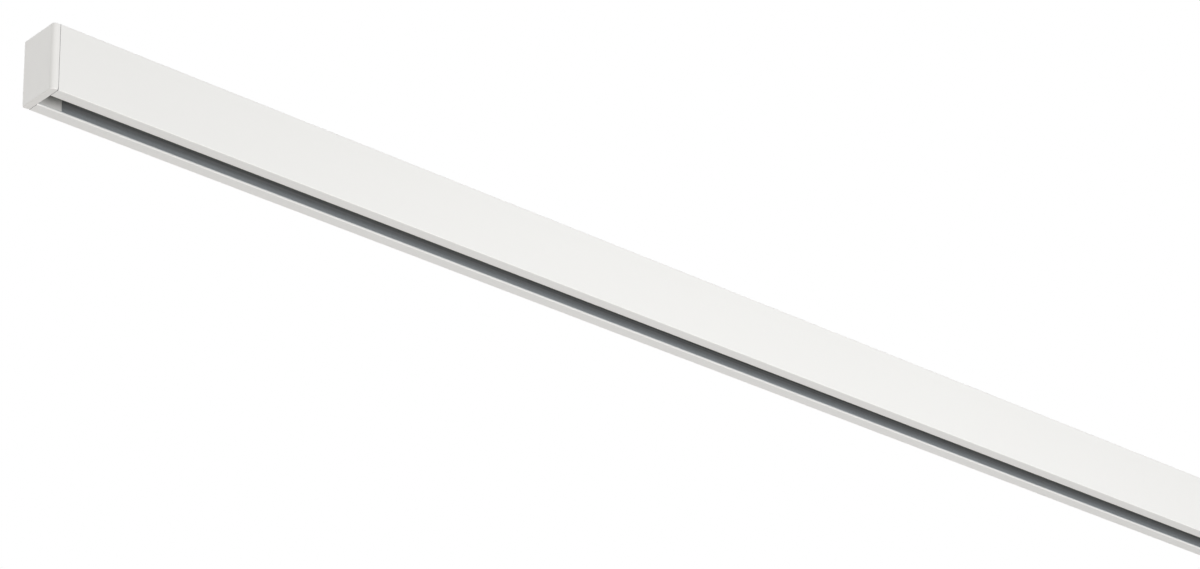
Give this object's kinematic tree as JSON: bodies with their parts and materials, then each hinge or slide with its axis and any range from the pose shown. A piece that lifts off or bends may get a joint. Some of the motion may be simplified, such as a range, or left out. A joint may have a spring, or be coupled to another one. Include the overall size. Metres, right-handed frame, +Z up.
{
  "type": "curtain track",
  "caption": "Straight white ceiling-mounted curtain track: a tall box-section rail slotted along its underside, with end caps, lever-locked ceiling clips and wheeled runners with hook eyes.",
  "frame": {"origin": "on the ceiling plane, at the screw hole of the middle ceiling clip, which is the centre of the line of screw holes", "axes": "+X along the rail towards the end where the runners are parked, +Y towards the window, away from the room side that the picture shows, +Z up to the ceiling"},
  "size_m": [1.406, 0.0195, 0.0446],
  "materials": {
    "white_powder_coat": "white powder coat outside, bare mill finish inside the channels",
    "white_cap_plastic": "satin moulding",
    "zinc_steel": "bright zinc plate",
    "runner_plastic": "natural white moulding",
    "wheel_plastic": "low-friction moulding"
  },
  "bodies": {
    "track": {"track_profile": "white_powder_coat", "end_cap_left": "white_cap_plastic", "end_cap_right": "white_cap_plastic", "clip_1_plate": "zinc_steel", "clip_1_rivet": "zinc_steel", "clip_2_plate": "zinc_steel", "clip_2_rivet": "zinc_steel", "clip_3_plate": "zinc_steel", "clip_3_rivet": "zinc_steel"},
    "clip_1_lever": {"clip_1_lever": "zinc_steel"},
    "clip_2_lever": {"clip_2_lever": "zinc_steel"},
    "clip_3_lever": {"clip_3_lever": "zinc_steel"},
    "runner_01_carriage": {"runner_01_carriage": "runner_plastic"},
    "runner_01_wheels": {"runner_01_wheels": "wheel_plastic"},
    "runner_01_eye": {"runner_01_eye": "runner_plastic"},
    "runner_02_carriage": {"runner_02_carriage": "runner_plastic"},
    "runner_02_wheels": {"runner_02_wheels": "wheel_plastic"},
    "runner_02_eye": {"runner_02_eye": "runner_plastic"},
    "runner_03_carriage": {"runner_03_carriage": "runner_plastic"},
    "runner_03_wheels": {"runner_03_wheels": "wheel_plastic"},
    "runner_03_eye": {"runner_03_eye": "runner_plastic"},
    "runner_04_carriage": {"runner_04_carriage": "runner_plastic"},
    "runner_04_wheels": {"runner_04_wheels": "wheel_plastic"},
    "runner_04_eye": {"runner_04_eye": "runner_plastic"},
    "runner_05_carriage": {"runner_05_carriage": "runner_plastic"},
    "runner_05_wheels": {"runner_05_wheels": "wheel_plastic"},
    "runner_05_eye": {"runner_05_eye": "runner_plastic"},
    "runner_06_carriage": {"runner_06_carriage": "runner_plastic"},
    "runner_06_wheels": {"runner_06_wheels": "wheel_plastic"},
    "runner_06_eye": {"runner_06_eye": "runner_plastic"},
    "runner_07_carriage": {"runner_07_carriage": "runner_plastic"},
    "runner_07_wheels": {"runner_07_wheels": "wheel_plastic"},
    "runner_07_eye": {"runner_07_eye": "runner_plastic"},
    "runner_08_carriage": {"runner_08_carriage": "runner_plastic"},
    "runner_08_wheels": {"runner_08_wheels": "wheel_plastic"},
    "runner_08_eye": {"runner_08_eye": "runner_plastic"},
    "runner_09_carriage": {"runner_09_carriage": "runner_plastic"},
    "runner_09_wheels": {"runner_09_wheels": "wheel_plastic"},
    "runner_09_eye": {"runner_09_eye": "runner_plastic"},
    "runner_10_carriage": {"runner_10_carriage": "runner_plastic"},
    "runner_10_wheels": {"runner_10_wheels": "wheel_plastic"},
    "runner_10_eye": {"runner_10_eye": "runner_plastic"},
    "runner_11_carriage": {"runner_11_carriage": "runner_plastic"},
    "runner_11_wheels": {"runner_11_wheels": "wheel_plastic"},
    "runner_11_eye": {"runner_11_eye": "runner_plastic"},
    "runner_12_carriage": {"runner_12_carriage": "runner_plastic"},
    "runner_12_wheels": {"runner_12_wheels": "wheel_plastic"},
    "runner_12_eye": {"runner_12_eye": "runner_plastic"},
    "runner_13_carriage": {"runner_13_carriage": "runner_plastic"},
    "runner_13_wheels": {"runner_13_wheels": "wheel_plastic"},
    "runner_13_eye": {"runner_13_eye": "runner_plastic"},
    "runner_14_carriage": {"runner_14_carriage": "runner_plastic"},
    "runner_14_wheels": {"runner_14_wheels": "wheel_plastic"},
    "runner_14_eye": {"runner_14_eye": "runner_plastic"}
  },
  "joints": [
    {"name": "clip_1_lever_turn", "type": "hinge", "parent": "track", "child": "clip_1_lever", "pos_m": [-0.585, 0.0008, -0.003], "axis": [0, 0, 1], "range_deg": [0, 90]},
    {"name": "clip_2_lever_turn", "type": "hinge", "parent": "track", "child": "clip_2_lever", "pos_m": [0.015, 0.0008, -0.003], "axis": [0, 0, 1], "range_deg": [0, 90]},
    {"name": "clip_3_lever_turn", "type": "hinge", "parent": "track", "child": "clip_3_lever", "pos_m": [0.615, 0.0008, -0.003], "axis": [0, 0, 1], "range_deg": [0, 90]},
    {"name": "runner_01_slide", "type": "slide", "parent": "track", "child": "runner_01_carriage", "axis": [-1, 0, 0], "range_m": [0, 1.202]},
    {"name": "runner_01_wheels_roll", "type": "hinge", "parent": "runner_01_carriage", "child": "runner_01_wheels", "pos_m": [0.5204, 0, -0.02365], "axis": [0, -1, 0], "continuous": true},
    {"name": "runner_01_eye_swivel", "type": "hinge", "parent": "runner_01_carriage", "child": "runner_01_eye", "pos_m": [0.5204, 0, -0.0335], "axis": [0, 0, 1], "continuous": true},
    {"name": "runner_02_slide", "type": "slide", "parent": "track", "child": "runner_02_carriage", "axis": [-1, 0, 0], "range_m": [0, 1.11664]},
    {"name": "runner_02_wheels_roll", "type": "hinge", "parent": "runner_02_carriage", "child": "runner_02_wheels", "pos_m": [0.5328, 0, -0.02365], "axis": [0, -1, 0], "continuous": true},
    {"name": "runner_02_eye_swivel", "type": "hinge", "parent": "runner_02_carriage", "child": "runner_02_eye", "pos_m": [0.5328, 0, -0.0335], "axis": [0, 0, 1], "continuous": true},
    {"name": "runner_03_slide", "type": "slide", "parent": "track", "child": "runner_03_carriage", "axis": [-1, 0, 0], "range_m": [0, 1.03079]},
    {"name": "runner_03_wheels_roll", "type": "hinge", "parent": "runner_03_carriage", "child": "runner_03_wheels", "pos_m": [0.5452, 0, -0.02365], "axis": [0, -1, 0], "continuous": true},
    {"name": "runner_03_eye_swivel", "type": "hinge", "parent": "runner_03_carriage", "child": "runner_03_eye", "pos_m": [0.5452, 0, -0.0335], "axis": [0, 0, 1], "continuous": true},
    {"name": "runner_04_slide", "type": "slide", "parent": "track", "child": "runner_04_carriage", "axis": [-1, 0, 0], "range_m": [0, 0.94493]},
    {"name": "runner_04_wheels_roll", "type": "hinge", "parent": "runner_04_carriage", "child": "runner_04_wheels", "pos_m": [0.5576, 0, -0.02365], "axis": [0, -1, 0], "continuous": true},
    {"name": "runner_04_eye_swivel", "type": "hinge", "parent": "runner_04_carriage", "child": "runner_04_eye", "pos_m": [0.5576, 0, -0.0335], "axis": [0, 0, 1], "continuous": true},
    {"name": "runner_05_slide", "type": "slide", "parent": "track", "child": "runner_05_carriage", "axis": [-1, 0, 0], "range_m": [0, 0.85907]},
    {"name": "runner_05_wheels_roll", "type": "hinge", "parent": "runner_05_carriage", "child": "runner_05_wheels", "pos_m": [0.57, 0, -0.02365], "axis": [0, -1, 0], "continuous": true},
    {"name": "runner_05_eye_swivel", "type": "hinge", "parent": "runner_05_carriage", "child": "runner_05_eye", "pos_m": [0.57, 0, -0.0335], "axis": [0, 0, 1], "continuous": true},
    {"name": "runner_06_slide", "type": "slide", "parent": "track", "child": "runner_06_carriage", "axis": [-1, 0, 0], "range_m": [0, 0.77321]},
    {"name": "runner_06_wheels_roll", "type": "hinge", "parent": "runner_06_carriage", "child": "runner_06_wheels", "pos_m": [0.5824, 0, -0.02365], "axis": [0, -1, 0], "continuous": true},
    {"name": "runner_06_eye_swivel", "type": "hinge", "parent": "runner_06_carriage", "child": "runner_06_eye", "pos_m": [0.5824, 0, -0.0335], "axis": [0, 0, 1], "continuous": true},
    {"name": "runner_07_slide", "type": "slide", "parent": "track", "child": "runner_07_carriage", "axis": [-1, 0, 0], "range_m": [0, 0.68736]},
    {"name": "runner_07_wheels_roll", "type": "hinge", "parent": "runner_07_carriage", "child": "runner_07_wheels", "pos_m": [0.5948, 0, -0.02365], "axis": [0, -1, 0], "continuous": true},
    {"name": "runner_07_eye_swivel", "type": "hinge", "parent": "runner_07_carriage", "child": "runner_07_eye", "pos_m": [0.5948, 0, -0.0335], "axis": [0, 0, 1], "continuous": true},
    {"name": "runner_08_slide", "type": "slide", "parent": "track", "child": "runner_08_carriage", "axis": [-1, 0, 0], "range_m": [0, 0.6015]},
    {"name": "runner_08_wheels_roll", "type": "hinge", "parent": "runner_08_carriage", "child": "runner_08_wheels", "pos_m": [0.6072, 0, -0.02365], "axis": [0, -1, 0], "continuous": true},
    {"name": "runner_08_eye_swivel", "type": "hinge", "parent": "runner_08_carriage", "child": "runner_08_eye", "pos_m": [0.6072, 0, -0.0335], "axis": [0, 0, 1], "continuous": true},
    {"name": "runner_09_slide", "type": "slide", "parent": "track", "child": "runner_09_carriage", "axis": [-1, 0, 0], "range_m": [0, 0.51564]},
    {"name": "runner_09_wheels_roll", "type": "hinge", "parent": "runner_09_carriage", "child": "runner_09_wheels", "pos_m": [0.6196, 0, -0.02365], "axis": [0, -1, 0], "continuous": true},
    {"name": "runner_09_eye_swivel", "type": "hinge", "parent": "runner_09_carriage", "child": "runner_09_eye", "pos_m": [0.6196, 0, -0.0335], "axis": [0, 0, 1], "continuous": true},
    {"name": "runner_10_slide", "type": "slide", "parent": "track", "child": "runner_10_carriage", "axis": [-1, 0, 0], "range_m": [0, 0.42979]},
    {"name": "runner_10_wheels_roll", "type": "hinge", "parent": "runner_10_carriage", "child": "runner_10_wheels", "pos_m": [0.632, 0, -0.02365], "axis": [0, -1, 0], "continuous": true},
    {"name": "runner_10_eye_swivel", "type": "hinge", "parent": "runner_10_carriage", "child": "runner_10_eye", "pos_m": [0.632, 0, -0.0335], "axis": [0, 0, 1], "continuous": true},
    {"name": "runner_11_slide", "type": "slide", "parent": "track", "child": "runner_11_carriage", "axis": [-1, 0, 0], "range_m": [0, 0.34393]},
    {"name": "runner_11_wheels_roll", "type": "hinge", "parent": "runner_11_carriage", "child": "runner_11_wheels", "pos_m": [0.6444, 0, -0.02365], "axis": [0, -1, 0], "continuous": true},
    {"name": "runner_11_eye_swivel", "type": "hinge", "parent": "runner_11_carriage", "child": "runner_11_eye", "pos_m": [0.6444, 0, -0.0335], "axis": [0, 0, 1], "continuous": true},
    {"name": "runner_12_slide", "type": "slide", "parent": "track", "child": "runner_12_carriage", "axis": [-1, 0, 0], "range_m": [0, 0.25807]},
    {"name": "runner_12_wheels_roll", "type": "hinge", "parent": "runner_12_carriage", "child": "runner_12_wheels", "pos_m": [0.6568, 0, -0.02365], "axis": [0, -1, 0], "continuous": true},
    {"name": "runner_12_eye_swivel", "type": "hinge", "parent": "runner_12_carriage", "child": "runner_12_eye", "pos_m": [0.6568, 0, -0.0335], "axis": [0, 0, 1], "continuous": true},
    {"name": "runner_13_slide", "type": "slide", "parent": "track", "child": "runner_13_carriage", "axis": [-1, 0, 0], "range_m": [0, 0.17221]},
    {"name": "runner_13_wheels_roll", "type": "hinge", "parent": "runner_13_carriage", "child": "runner_13_wheels", "pos_m": [0.6692, 0, -0.02365], "axis": [0, -1, 0], "continuous": true},
    {"name": "runner_13_eye_swivel", "type": "hinge", "parent": "runner_13_carriage", "child": "runner_13_eye", "pos_m": [0.6692, 0, -0.0335], "axis": [0, 0, 1], "continuous": true},
    {"name": "runner_14_slide", "type": "slide", "parent": "track", "child": "runner_14_carriage", "axis": [-1, 0, 0], "range_m": [0, 0.08636]},
    {"name": "runner_14_wheels_roll", "type": "hinge", "parent": "runner_14_carriage", "child": "runner_14_wheels", "pos_m": [0.6816, 0, -0.02365], "axis": [0, -1, 0], "continuous": true},
    {"name": "runner_14_eye_swivel", "type": "hinge", "parent": "runner_14_carriage", "child": "runner_14_eye", "pos_m": [0.6816, 0, -0.0335], "axis": [0, 0, 1], "continuous": true}
  ],
  "couplings": [
    {"joint": "runner_01_wheels_roll", "follows": "runner_01_slide", "rad_per_m": 222.22},
    {"joint": "runner_02_slide", "follows": "runner_01_slide", "ratio": 0.92857},
    {"joint": "runner_02_wheels_roll", "follows": "runner_01_slide", "rad_per_m": 206.35},
    {"joint": "runner_03_slide", "follows": "runner_01_slide", "ratio": 0.85714},
    {"joint": "runner_03_wheels_roll", "follows": "runner_01_slide", "rad_per_m": 190.48},
    {"joint": "runner_04_slide", "follows": "runner_01_slide", "ratio": 0.78571},
    {"joint": "runner_04_wheels_roll", "follows": "runner_01_slide", "rad_per_m": 174.6},
    {"joint": "runner_05_slide", "follows": "runner_01_slide", "ratio": 0.71429},
    {"joint": "runner_05_wheels_roll", "follows": "runner_01_slide", "rad_per_m": 158.73},
    {"joint": "runner_06_slide", "follows": "runner_01_slide", "ratio": 0.64286},
    {"joint": "runner_06_wheels_roll", "follows": "runner_01_slide", "rad_per_m": 142.86},
    {"joint": "runner_07_slide", "follows": "runner_01_slide", "ratio": 0.57143},
    {"joint": "runner_07_wheels_roll", "follows": "runner_01_slide", "rad_per_m": 126.98},
    {"joint": "runner_08_slide", "follows": "runner_01_slide", "ratio": 0.5},
    {"joint": "runner_08_wheels_roll", "follows": "runner_01_slide", "rad_per_m": 111.11},
    {"joint": "runner_09_slide", "follows": "runner_01_slide", "ratio": 0.42857},
    {"joint": "runner_09_wheels_roll", "follows": "runner_01_slide", "rad_per_m": 95.238},
    {"joint": "runner_10_slide", "follows": "runner_01_slide", "ratio": 0.35714},
    {"joint": "runner_10_wheels_roll", "follows": "runner_01_slide", "rad_per_m": 79.365},
    {"joint": "runner_11_slide", "follows": "runner_01_slide", "ratio": 0.28571},
    {"joint": "runner_11_wheels_roll", "follows": "runner_01_slide", "rad_per_m": 63.492},
    {"joint": "runner_12_slide", "follows": "runner_01_slide", "ratio": 0.21429},
    {"joint": "runner_12_wheels_roll", "follows": "runner_01_slide", "rad_per_m": 47.619},
    {"joint": "runner_13_slide", "follows": "runner_01_slide", "ratio": 0.14286},
    {"joint": "runner_13_wheels_roll", "follows": "runner_01_slide", "rad_per_m": 31.746},
    {"joint": "runner_14_slide", "follows": "runner_01_slide", "ratio": 0.071429},
    {"joint": "runner_14_wheels_roll", "follows": "runner_01_slide", "rad_per_m": 15.873}
  ]
}
